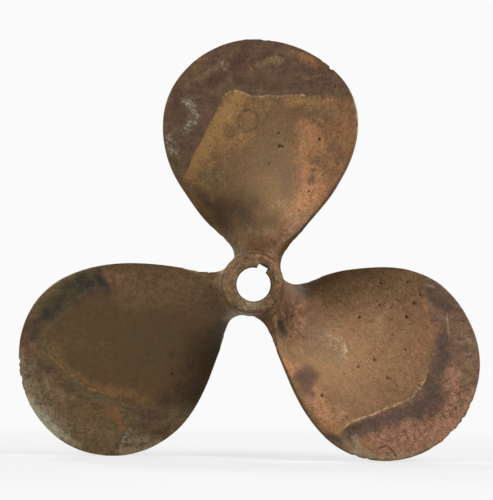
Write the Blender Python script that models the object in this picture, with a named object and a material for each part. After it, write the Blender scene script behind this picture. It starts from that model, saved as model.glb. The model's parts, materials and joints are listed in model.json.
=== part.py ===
"""Ship propeller: three blades and their hub, one left-hand casting in bronze.

Metres, +Z up. The shaft lies along Y and leaves forward, towards +Y, so someone at -Y
looks at the after end of the hub and at the driving faces of the blades. The origin is on
the shaft's axis where the reference lines of the blades meet it. The wheel is turned as it
stands on a floor, on the tips of its two lower blades.
"""
import math
from collections import namedtuple

import bmesh
import bpy

# Driving dimensions of the wheel
DIAMETER = 0.4064
PITCH = 0.3048
ROOT_PITCH = 0.290
FULL_PITCH_RADIUS = 0.080

# The blades were cast and dressed by hand and differ a little. From the top one, clockwise
# seen from astern: how far in degrees, anticlockwise, its reference line is from an even
# third of a turn, its half width, the radius over its tip, how much wider its near and its far
# rim are at the root, and how far in millimetres its rim lies outside the common drawing, at
# equal steps round the blade's middle from its near side over the tip to its far side.
Blade = namedtuple("Blade", "lead half_width tip near_root_out far_root_out trims")
BLADES = (
    Blade(-1.0, 0.0790, 0.2022, -0.0014, 0.0010,
          (1.5, 1.5, 0.7, -1.0, -1.5, -1.3, -0.5, 0.7, 0.6, 0.6, 0.4, 0.0,
           -0.6, -0.7, -0.7, -1.5, -0.2, 0.0, 0.0, -1.2, -0.6, 0.1, 0.3, 0.8)),
    Blade(1.1, 0.0796, 0.2016, -0.0010, 0.0034,
          (0.3, -0.8, -0.5, 0.2, 0.5, 0.7, 1.1, 0.6, 0.1, -1.4, -2.8, -2.3,
           0.0, 0.65, 0.7, 1.0, 1.7, 0.8, 0.0, -0.2, -0.3, 0.0, 0.2, 0.4)),
    Blade(-1.0, 0.0775, 0.2058, 0.0008, 0.0,
          (-0.5, -0.5, -0.9, -1.2, -1.6, -0.9, -0.4, 0.3, 0.8, 0.5, 0.0, 0.1,
           0.5, 0.9, 0.0, -0.9, -1.9, -0.8, 0.0, 0.2, 0.6, 0.4, -0.2, -0.5)),
)
BLADE_MIDDLE = 0.128
TRIM_BLUR = 7
TRIM_FADE = 1.6

# Outline of a blade, drawn flat: across from its reference line, and up from the shaft
WIDEST_AT = 0.1317
WIDEST_SHIFT = 0.6
NEAR_ROOT = (0.0225, 0.0246)
NEAR_ROOT_HANDLE = (0.0429, 0.0521)
FAR_ROOT = (0.0179, 0.0298)
FAR_ROOT_HANDLE = (0.0438, 0.0573)
SIDE_HANDLE_DROP = 0.0453

# Thickness of a blade at its middle and along its rim, which swells and rounds over at the root
ROOT_THICKNESS = 0.0135
TIP_THICKNESS = 0.0030
FULL_CHORD = 0.080
CHORD_POWER = 0.5
ROOT_RIM = 0.0040
ROOT_SWELL = 0.0090
ROOT_SWELL_END = 0.062
ROOT_ROUND = 0.0045
ROOT_ROUND_END = 0.078
TIP_RIM = 0.0018
FILLET_RADIUS = 0.012
FILLET_SINK = 0.0015
FILLET_ROUND_RIM = 0.1
FILLET_LIMIT = 0.995

# Hub, whose barrel is a little out of true with its tapered bore, and the keyway
HUB_AFT = -0.040
HUB_FORWARD = 0.034
AFT_RADIUS = 0.0249
FORWARD_RADIUS = 0.0261
BARREL_SHIFT = (-0.0007, 0, 0.0012)
AFT_SHOULDER = 0.0030
FORWARD_SHOULDER = 0.0045
BORE_FORWARD_RADIUS = 0.015875
BORE_TAPER = 1 / 32
BORE_CHAMFER = 0.0008
KEY_WIDTH = 0.0083
KEY_DEPTH = 0.0034
KEY_ANGLE = math.radians(62.2)
KEY_CUTTER_REACH = 1.3

# Fineness of the meshes
HUB_STEPS = 72
SHOULDER_STEPS = 6
SIDE_STATIONS = 12
TIP_STATIONS = 19
RIM_STEPS = 4
CHORD_STEPS = 12
LAST_TIP_ANGLE = math.radians(86)
ROOT_RADIUS = 0.0200
FILLET_RISES = (-0.0012, 0.0004, 0.0016, 0.0034, 0.0058)

SHARP = math.radians(40)
MERGE = 0.00001


def blend(start, end, share):
    return start + (end - start) * share


def smoothstep(value, low, high):
    share = min(max((value - low) / (high - low), 0), 1)
    return share * share * (3 - 2 * share)


def bezier(points, share):
    """A point on the cubic curve with these four points, each (across, up)."""
    rest = 1 - share
    weights = (rest ** 3, 3 * rest ** 2 * share, 3 * rest * share ** 2, share ** 3)
    return tuple(sum(w * p[axis] for w, p in zip(weights, points)) for axis in (0, 1))


def polar(across, up):
    return math.hypot(across, up), math.atan2(across, up)


def widest_place(blade):
    """The widest place of a blade's outline, a little farther out on a longer blade."""
    return blade.half_width, WIDEST_AT + WIDEST_SHIFT * (blade.tip - DIAMETER / 2)


def trim_at(blade, angle):
    """How far a blade's rim lies outside the common drawing at an angle in degrees."""
    total = 0
    for step in range(-TRIM_BLUR, TRIM_BLUR + 1):
        place = (angle + step) % 360 / 360 * len(blade.trims)
        index = int(place)
        after = blade.trims[(index + 1) % len(blade.trims)]
        total += blend(blade.trims[index], after, place - index)
    return total / (2 * TRIM_BLUR + 1) / 1000


def own_rim(blade, point, side):
    """Radius and angle of a point of the drawn rim, moved to the outline that this blade has."""
    across, up = point
    run, rise = side * across, up - BLADE_MIDDLE
    root = math.hypot(*NEAR_ROOT)
    trim = trim_at(blade, math.degrees(math.atan2(rise, run)))
    moved = trim * smoothstep(up, root, TRIM_FADE * root) / math.hypot(run, rise)
    return polar(across * (1 + moved), up + rise * moved)


def side_station(blade, share):
    """Radius and angle of both rims, from the root at 0 to the widest place at 1."""
    widest = widest_place(blade)
    above = (widest[0], widest[1] - SIDE_HANDLE_DROP)
    near_root = (NEAR_ROOT[0] + blade.near_root_out, NEAR_ROOT[1])
    far_root = (FAR_ROOT[0] + blade.far_root_out, FAR_ROOT[1])
    near = bezier((near_root, NEAR_ROOT_HANDLE, above, widest), share)
    far = bezier((far_root, FAR_ROOT_HANDLE, above, widest), share)
    return own_rim(blade, near, 1), own_rim(blade, far, -1)


def tip_station(blade, angle):
    """Radius and angle of both rims on the half ellipse that rounds the tip."""
    half_width, widest_at = widest_place(blade)
    across = half_width * math.cos(angle)
    up = widest_at + (blade.tip - widest_at) * math.sin(angle)
    return own_rim(blade, (across, up), 1), own_rim(blade, (across, up), -1)


def root_station(blade, radius):
    """Both rims at a radius inside the fillet: they run straight in to the shaft."""
    near, far = side_station(blade, 0)
    return (radius, near[1]), (radius, far[1])


def pitch_at(radius):
    """Advance each turn, a little less on the inner part of the blade."""
    share = (radius - AFT_RADIUS) / (FULL_PITCH_RADIUS - AFT_RADIUS)
    return blend(ROOT_PITCH, PITCH, min(max(share, 0), 1))


def fillet_at(radius):
    """How far the fillet stands out from the blade's own surface."""
    hub = (AFT_RADIUS + FORWARD_RADIUS) / 2
    drop = FILLET_RADIUS - (radius - hub + FILLET_SINK)
    drop = min(max(drop, 0), FILLET_LIMIT * FILLET_RADIUS)
    return FILLET_RADIUS - math.sqrt(FILLET_RADIUS ** 2 - drop ** 2)


def rim_thickness(radius):
    swell = ROOT_SWELL * (1 - smoothstep(radius, AFT_RADIUS, ROOT_SWELL_END))
    return blend(ROOT_RIM, TIP_RIM, radius * 2 / DIAMETER) + swell


def middle_thickness(radius, chord):
    """Thickness at mid chord, which thins out with the chord towards the tip."""
    full = blend(ROOT_THICKNESS, TIP_THICKNESS, (radius - AFT_RADIUS) / (DIAMETER / 2 - AFT_RADIUS))
    rim = rim_thickness(radius)
    return rim + (full - rim) * min(1, chord / FULL_CHORD) ** CHORD_POWER


def on_cylinder(radius, angle, along, out):
    """A point moved along the helix and out to its forward side, and wrapped on its cylinder."""
    pitch = pitch_at(radius)
    slope = math.atan2(pitch, 2 * math.pi * radius)
    turn = angle + (along * math.cos(slope) - out * math.sin(slope)) / radius
    y = pitch * angle / (2 * math.pi) + along * math.sin(slope) + out * math.cos(slope)
    return -radius * math.sin(turn), y, radius * math.cos(turn)


def section(near, far):
    """The closed loop of one blade section, from the near rim over the driving face and back."""
    chord = near[0] * near[1] + far[0] * far[1]

    def on_section(place, side, reach):
        """A point at a place along the chord, from the face at -1 to the back at 1."""
        radius = blend(near[0], far[0], place)
        rim = rim_thickness(radius)
        fillet = fillet_at(radius)
        swell = (middle_thickness(radius, chord) - rim) * 4 * place * (1 - place)
        rounding = ROOT_ROUND * (1 - smoothstep(radius, AFT_RADIUS, ROOT_ROUND_END))
        out = side * (rim / 2 + fillet) + swell * (side > 0)
        out += rounding * abs(2 * place - 1) ** 3 * (1 - side) / 2
        along = rim / 2 * (1 - 2 * place) + reach * (rim / 2 + FILLET_ROUND_RIM * fillet)
        return on_cylinder(radius, blend(-near[1], far[1], place), along, out)

    places = [(1 - math.cos(math.pi * step / CHORD_STEPS)) / 2 for step in range(CHORD_STEPS + 1)]
    turns = [math.pi * (step / RIM_STEPS - 0.5) for step in range(1, RIM_STEPS)]
    face = [on_section(place, -1, 0) for place in places]
    back = [on_section(place, 1, 0) for place in reversed(places)]
    far_rim = [on_section(1, math.sin(turn), math.cos(turn)) for turn in turns]
    near_rim = [on_section(0, -math.sin(turn), -math.cos(turn)) for turn in turns]
    middle = len(turns) // 2
    return near_rim[middle:] + face + far_rim + back + near_rim[:middle]


def blade_stations(blade):
    hub = (AFT_RADIUS + FORWARD_RADIUS) / 2
    radii = [ROOT_RADIUS] + [hub + rise for rise in FILLET_RISES]
    stations = [root_station(blade, radius) for radius in radii]
    stations += [side_station(blade, step / SIDE_STATIONS) for step in range(SIDE_STATIONS)]
    angles = [LAST_TIP_ANGLE * step / TIP_STATIONS for step in range(TIP_STATIONS + 1)]
    return stations + [tip_station(blade, angle) for angle in angles]


def close_end(mesh, loop):
    """Closes the end of a blade with a strip from its near rim to its far rim."""
    half = len(loop) // 2
    mesh.faces.new((loop[0], loop[1], loop[-1]))
    for step in range(1, half - 1):
        mesh.faces.new((loop[step], loop[step + 1], loop[-step - 1], loop[-step]))
    mesh.faces.new((loop[half - 1], loop[half], loop[half + 1]))


def finish(mesh, name):
    bmesh.ops.remove_doubles(mesh, verts=mesh.verts[:], dist=MERGE)
    bmesh.ops.recalc_face_normals(mesh, faces=mesh.faces[:])
    data = bpy.data.meshes.new(name)
    mesh.to_mesh(data)
    mesh.free()
    data.shade_smooth()
    data.set_sharp_from_angle(angle=SHARP)
    thing = bpy.data.objects.new(name, data)
    bpy.context.scene.collection.objects.link(thing)
    return thing


def make_blade(number):
    mesh = bmesh.new()
    loops = []
    for near, far in blade_stations(BLADES[number]):
        loops.append([mesh.verts.new(point) for point in section(near, far)])
    for inner, outer in zip(loops, loops[1:]):
        for step in range(len(inner)):
            after = (step + 1) % len(inner)
            mesh.faces.new((inner[step], inner[after], outer[after], outer[step]))
    close_end(mesh, loops[0])
    close_end(mesh, loops[-1])
    blade = finish(mesh, f"blade_{number + 1}")
    blade.rotation_euler.y = 2 * math.pi * number / len(BLADES) - math.radians(BLADES[number].lead)
    return blade


def quarter(centre, radius, start):
    """Points of a shoulder's quarter circle, as (radius, y), turning from the angle start."""
    points = []
    for step in range(SHOULDER_STEPS + 1):
        angle = start + math.pi / 2 * step / SHOULDER_STEPS
        points.append((centre[0] + radius * math.cos(angle), centre[1] + radius * math.sin(angle)))
    return points


def bore_radius(y):
    return BORE_FORWARD_RADIUS - (HUB_FORWARD - y) * BORE_TAPER


def hub_profile():
    """Half section of the hub, round its outside from the after face and back through the bore."""
    aft_centre = (AFT_RADIUS - AFT_SHOULDER, HUB_AFT + AFT_SHOULDER)
    forward_centre = (FORWARD_RADIUS - FORWARD_SHOULDER, HUB_FORWARD - FORWARD_SHOULDER)
    profile = [(bore_radius(HUB_AFT) + BORE_CHAMFER, HUB_AFT)]
    profile += quarter(aft_centre, AFT_SHOULDER, -math.pi / 2)
    profile += quarter(forward_centre, FORWARD_SHOULDER, 0)
    profile.append((bore_radius(HUB_FORWARD) + BORE_CHAMFER, HUB_FORWARD))
    profile.append((bore_radius(HUB_FORWARD - BORE_CHAMFER), HUB_FORWARD - BORE_CHAMFER))
    profile.append((bore_radius(HUB_AFT + BORE_CHAMFER), HUB_AFT + BORE_CHAMFER))
    return profile


def make_hub():
    mesh = bmesh.new()
    verts = [mesh.verts.new((radius, y, 0)) for radius, y in hub_profile()]
    edges = [mesh.edges.new((verts[step - 1], verts[step])) for step in range(len(verts))]
    bmesh.ops.spin(mesh, geom=verts + edges, cent=(0, 0, 0), axis=(0, 1, 0),
                   angle=2 * math.pi, steps=HUB_STEPS, use_merge=True)
    wall = (bore_radius(HUB_FORWARD) + AFT_RADIUS) / 2
    barrel = [vert for vert in mesh.verts if math.hypot(vert.co.x, vert.co.z) > wall]
    bmesh.ops.translate(mesh, vec=BARREL_SHIFT, verts=barrel)
    return finish(mesh, "propeller")


def make_key_cutter():
    """A bar that lies along the taper of the bore and cuts the keyway out of its wall."""
    middle = (HUB_AFT + HUB_FORWARD) / 2
    length = (HUB_FORWARD - HUB_AFT) * KEY_CUTTER_REACH
    height = 2 * KEY_DEPTH
    mesh = bmesh.new()
    bmesh.ops.create_cube(mesh, size=1)
    bmesh.ops.scale(mesh, vec=(height, length, KEY_WIDTH), verts=mesh.verts[:])
    cutter = finish(mesh, "keyway_cutter")
    out = bore_radius(middle) + KEY_DEPTH - height / 2
    cutter.location = (out * math.cos(KEY_ANGLE), middle, out * math.sin(KEY_ANGLE))
    cutter.rotation_mode = "ZYX"
    cutter.rotation_euler = (0, -KEY_ANGLE, -math.atan(BORE_TAPER))
    return cutter


def combine(body, other, operation):
    other.hide_render = True
    other.display_type = "WIRE"
    step = body.modifiers.new(f"{operation.lower()} {other.name}", "BOOLEAN")
    step.operation = operation
    step.solver = "EXACT"
    step.object = other


def bronze():
    material = bpy.data.materials.new("weathered bronze")
    material.use_nodes = True
    shader = material.node_tree.nodes["Principled BSDF"]
    shader.inputs["Base Color"].default_value = (0.30, 0.19, 0.10, 1)
    shader.inputs["Metallic"].default_value = 0.8
    shader.inputs["Roughness"].default_value = 0.5
    return material


def main():
    for thing in list(bpy.data.objects):
        bpy.data.objects.remove(thing)
    propeller = make_hub()
    for number in range(len(BLADES)):
        combine(propeller, make_blade(number), "UNION")
    combine(propeller, make_key_cutter(), "DIFFERENCE")
    propeller.data.materials.append(bronze())


main()
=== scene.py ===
"""Looks of a weathered bronze ship propeller that stands on two of its blades in a white studio."""
import json
import math
from collections import namedtuple

import bpy
import numpy as np
from mathutils import Matrix, Vector, noise

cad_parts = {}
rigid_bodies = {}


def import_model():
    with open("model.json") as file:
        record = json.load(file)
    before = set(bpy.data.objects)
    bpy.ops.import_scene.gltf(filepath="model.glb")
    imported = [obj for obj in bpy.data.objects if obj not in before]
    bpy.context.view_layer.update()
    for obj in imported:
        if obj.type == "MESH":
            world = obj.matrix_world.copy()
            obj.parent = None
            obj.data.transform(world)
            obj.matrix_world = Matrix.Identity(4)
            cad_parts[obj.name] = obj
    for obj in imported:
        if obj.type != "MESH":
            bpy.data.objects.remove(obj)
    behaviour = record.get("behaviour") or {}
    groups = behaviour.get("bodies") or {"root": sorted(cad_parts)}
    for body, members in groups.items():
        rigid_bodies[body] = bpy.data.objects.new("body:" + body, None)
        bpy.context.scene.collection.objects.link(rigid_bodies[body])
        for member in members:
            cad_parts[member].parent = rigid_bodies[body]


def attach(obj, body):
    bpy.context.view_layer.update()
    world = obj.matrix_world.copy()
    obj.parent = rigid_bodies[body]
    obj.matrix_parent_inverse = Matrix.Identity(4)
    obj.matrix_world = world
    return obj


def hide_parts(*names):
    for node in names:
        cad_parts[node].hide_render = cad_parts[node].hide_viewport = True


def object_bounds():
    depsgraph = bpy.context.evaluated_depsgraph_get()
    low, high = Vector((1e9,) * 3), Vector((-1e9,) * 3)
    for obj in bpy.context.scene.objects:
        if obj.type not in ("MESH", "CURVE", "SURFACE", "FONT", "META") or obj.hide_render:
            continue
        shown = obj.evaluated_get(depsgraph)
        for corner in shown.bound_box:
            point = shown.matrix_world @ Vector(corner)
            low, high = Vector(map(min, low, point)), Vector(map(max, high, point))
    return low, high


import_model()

CAD_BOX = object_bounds()

# The photograph's frame, in pixels, and the place of the shaft's axis in it
PHOTO_WIDTH = 493
PHOTO_HEIGHT = 500
AXIS_PIXEL = (252.8, 285.7)

# The camera: how far off it is, how far round and up, both less than zero because it stands to
# port and low, its roll, the photograph's scale at the wheel and the sensor's width in millimetres
CAMERA_DISTANCE = 2.0
CAMERA_ROUND = math.radians(-0.8)
CAMERA_UP = math.radians(-1.4)
CAMERA_ROLL = math.radians(0.9)
PIXELS_PER_METRE = 1225.4
SENSOR = 36.0

# The wheel, in metres, as the part's own source has it
RADIUS = 0.2032
PITCH = 0.3048
ROOT_PITCH = 0.290
FULL_PITCH_RADIUS = 0.080
WIDEST_AT = 0.1317
WIDEST_SHIFT = 0.6
NEAR_ROOT = (0.0225, 0.0246)
NEAR_ROOT_HANDLE = (0.0429, 0.0521)
FAR_ROOT = (0.0179, 0.0298)
FAR_ROOT_HANDLE = (0.0438, 0.0573)
SIDE_HANDLE_DROP = 0.0453
ROOT_THICKNESS = 0.0135
TIP_THICKNESS = 0.0030
FULL_CHORD = 0.080
CHORD_POWER = 0.5
ROOT_RIM = 0.0040
ROOT_SWELL = 0.0090
ROOT_SWELL_END = 0.062
ROOT_ROUND = 0.0045
ROOT_ROUND_END = 0.078
ROOT_ROUND_POWER = 3
TIP_RIM = 0.0018
FILLET_RADIUS = 0.012
FILLET_SINK = 0.0015
FILLET_ROUND_RIM = 0.1
FILLET_LIMIT = 0.995
HUB_AFT = -0.040
HUB_FORWARD = 0.034
AFT_RADIUS = 0.0249
FORWARD_RADIUS = 0.0261
BARREL_SHIFT = (-0.0007, 0, 0.0012)
AFT_SHOULDER = 0.0014
FORWARD_SHOULDER = 0.0045
CROWN = 0.0024
BORE_FORWARD_RADIUS = 0.015875
BORE_TAPER = 1 / 32
BORE_CHAMFER = 0.0008
KEY_WIDTH = 0.0083
KEY_DEPTH = 0.0034
KEY_ANGLE = math.radians(62.2)
KEY_BAR_REACH = 1.3

# The blades: how far, in degrees, each turns back from its third of the circle, and its own sizes
Blade = namedtuple("Blade", "name lead half_width tip near_root_out far_root_out")
BLADES = (
    Blade("top", -1.0, 0.0790, 0.2022, -0.0014, 0.0010),
    Blade("right", 1.1, 0.0796, 0.2016, -0.0010, 0.0034),
    Blade("left", -1.0, 0.0775, 0.2058, 0.0008, 0.0),
)

# How far each blade's outline lies outside the common drawing, in millimetres, at every 15
# degrees round the blade's middle, from its near side over the tip to its far side and root. The
# blur, in degrees to each side, rounds the steps, and at the root all of it fades out
BLADE_MIDDLE = 0.128
OUTLINE_EVERY = 15
OUTLINE_BLUR = 7
OUTLINE_FADE = 1.6
OUTLINES = {
    "top": (1.5, 1.5, 0.7, -1.0, -1.5, -1.3, -0.5, 0.7, 0.6, 0.6, 0.4, 0.0,
            -0.6, -0.7, -0.7, -1.5, -0.2, 0.0, 0.0, -1.2, -0.6, 0.1, 0.3, 0.8),
    "right": (0.3, -0.8, -0.5, 0.2, 0.5, 0.7, 1.1, 0.6, 0.1, -1.4, -2.8, -2.3,
              0.0, 0.65, 0.7, 1.0, 1.7, 0.8, 0.0, -0.2, -0.3, 0.0, 0.2, 0.4),
    "left": (-0.5, -0.5, -0.9, -1.2, -1.6, -0.9, -0.4, 0.3, 0.8, 0.5, 0.0, 0.1,
             0.5, 0.9, 0.0, -0.9, -1.9, -0.8, 0.0, 0.2, 0.6, 0.4, -0.2, -0.5),
}

# Fineness of the casting's mesh, the radius inside the hub from which the blades are drawn, and
# the angles up to which their tips are drawn and from which an edge is sharp
HUB_STEPS = 120
SHOULDER_STEPS = 9
CHAMFER_STEPS = 3
BARREL_CUTS = 30
RING_CUTS = 7
RING_LEAST = 0.003
FACE_CELLS = 76
FACE_CELL_SPREAD = 0.6
RIM_CELLS = 4
ROOT_STATIONS = 8
SIDE_STATIONS = 45
TIP_STATIONS = 60
ROOT_RADIUS = 0.020
LAST_TIP_ANGLE = math.radians(88)
SHARP_ANGLE = math.radians(50)

# How near is the same place on the hub, along the shaft and out from it, in metres, how much a
# face that counts as an end of it faces along the shaft, and the least square of a stroke's run
SAME_PLACE = 1e-5
SAME_RADIUS = 2e-4
END_TURN = 0.9
LEAST_RUN = 1e-9

# Where the mesh is made finer: how near to the marks, in pixels, at each of two passes, the half
# width below which a stroke counts as a mark, how far off the hub in metres, and the least face
# that is split in square metres
FINER_REACHES = (2.2, 1.2)
FINE_STAIN = 2.1
FINER_OFF_HUB = 0.006
LEAST_SPLIT = 0.25e-6

# The ends of the hub: up to which share of the way from the bore to the barrel the bore is drawn
# to its taper, from which one the barrel is, from which one the face is crowned, and up to how
# many times the barrel's radius
BORE_DRAWN = 0.3
BARREL_DRAWN = 0.4
CROWN_START = 0.1
CROWN_END = 1.15

# Filling of the roots: how far from the hub's aft end it stops, as a share of the crown, and over
# which depths below that, heights over the barrel and turns of the surface it begins and ends
FILL_UNDER_CROWN = 0.7
FILL_DEPTH = (0.005, 0.015)
FILL_START = (-0.0008, 0)
FILL_END = (0.001, 0.017)
FILL_TURN = (-0.45, -0.10)

# Easing of the roots: how far out from the hub each one goes, in metres, its rounds, and whether
# it goes everywhere or only where the surface faces along the shaft. Then the share of the way
# from the bore to the barrel from which the hub's ends are eased, how near to nothing a move is
# while it changes from a cut to a filling, how near to the barrel cuts fade out, both in metres,
# and how much a surface that faces along the shaft does so
ROOT_EASING = ((0.032, 8, 1), (0.009, 6, 1), (0.030, 16, 0), (0.022, 40, 0), (0.014, 60, 0),
               (0.008, 30, 0))
EASED_FROM = 0.5
EASED_FILLING = 0.0001
EASED_BARREL = 0.002
EASED_TURN = (0.1, 0.45)

# Lumps of the casting: their size, seed and height in metres, and how much of them the hub has
LUMPS = ((0.022, 3.1, 0.00022), (0.006, 8.7, 0.00007))
HUB_LUMPS = 0.5

# The step at the old skin's edge and what the lip adds to it, in metres, its width, in pixels,
# and how far from that edge, in pixels, makes no more difference
SKIN_STEP = 0.00004
LIP_STEP = 0.00012
SKIN_STEP_WIDTH = 0.8
FAR_FROM_SKIN = 60.0

# Zones of wear and of the bore's painted shade: how far outside the hub's barrel or bore they begin
# or end, in metres, how much a surface faces aft where it wears, and how far it turns while the
# stains of both sides mingle
WORN_OFF_HUB = (0.004, 0.012)
WORN_TURN = (0.1, 0.5)
BORE_MARGIN = 0.002
BORE_SHADE_ZONE = (0.0003, 0.0012)
HUB_ZONE = 0.004
ROOT_ZONE = 0.022
SIDE_TURN = 0.25
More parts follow.
